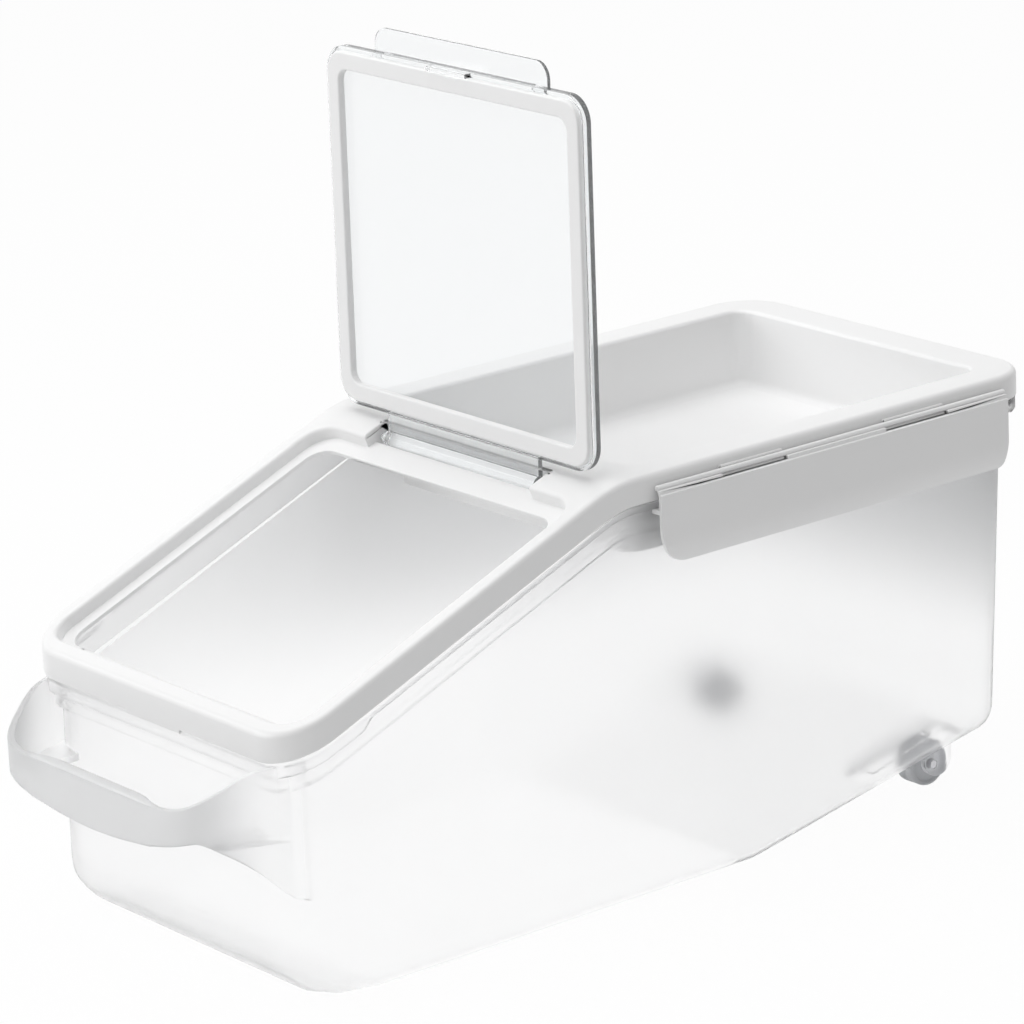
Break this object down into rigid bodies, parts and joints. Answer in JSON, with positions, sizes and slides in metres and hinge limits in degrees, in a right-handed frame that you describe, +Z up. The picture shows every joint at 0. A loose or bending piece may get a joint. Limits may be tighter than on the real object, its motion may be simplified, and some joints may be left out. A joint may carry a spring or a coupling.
{
  "type": "rice bin",
  "caption": "Long wedge-shaped kitchen bin for rice with a clear flip lid, a tray top, side latches, a pull handle and rear rollers.",
  "frame": {"origin": "under the middle of the whole object's box with the lid open, on the surface it stands on", "axes": "+X across the width, +Y from the handle to the rear along the length, +Z up"},
  "size_m": [0.2108, 0.469, 0.3783],
  "materials": {
    "milky_plastic": "satin translucent polypropylene",
    "white_plastic": "smooth moulded polypropylene",
    "clear_plastic": "polished clear polystyrene",
    "seal": "soft matte silicone",
    "roller_plastic": "matte moulded nylon",
    "axle_steel": "bright steel pin"
  },
  "bodies": {
    "bin": {"bin_body": "milky_plastic", "top_frame": "white_plastic", "frame_gasket": "seal", "axle_left": "axle_steel", "axle_right": "axle_steel"},
    "lid": {"flip_lid": "clear_plastic", "lid_gasket": "seal"},
    "left_latch": {"latch_left": "white_plastic"},
    "right_latch": {"latch_right": "white_plastic"},
    "left_roller": {"wheel_left": "roller_plastic"},
    "right_roller": {"wheel_right": "roller_plastic"}
  },
  "joints": [
    {"name": "lid_hinge", "type": "hinge", "parent": "bin", "child": "lid", "pos_m": [0, -0.02373, 0.19109], "axis": [1, 0, 0], "range_deg": [0, 112.8]},
    {"name": "right_latch_hinge", "type": "hinge", "parent": "bin", "child": "right_latch", "pos_m": [0.102, 0.1065, 0.193], "axis": [0, -1, 0], "range_deg": [0, 100]},
    {"name": "left_latch_hinge", "type": "hinge", "parent": "bin", "child": "left_latch", "pos_m": [-0.102, 0.1065, 0.193], "axis": [0, 1, 0], "range_deg": [0, 100]},
    {"name": "left_roller_spin", "type": "hinge", "parent": "bin", "child": "left_roller", "pos_m": [-0.073, 0.1805, 0.015], "axis": [1, 0, 0], "continuous": true},
    {"name": "right_roller_spin", "type": "hinge", "parent": "bin", "child": "right_roller", "pos_m": [0.073, 0.1805, 0.015], "axis": [1, 0, 0], "continuous": true}
  ]
}
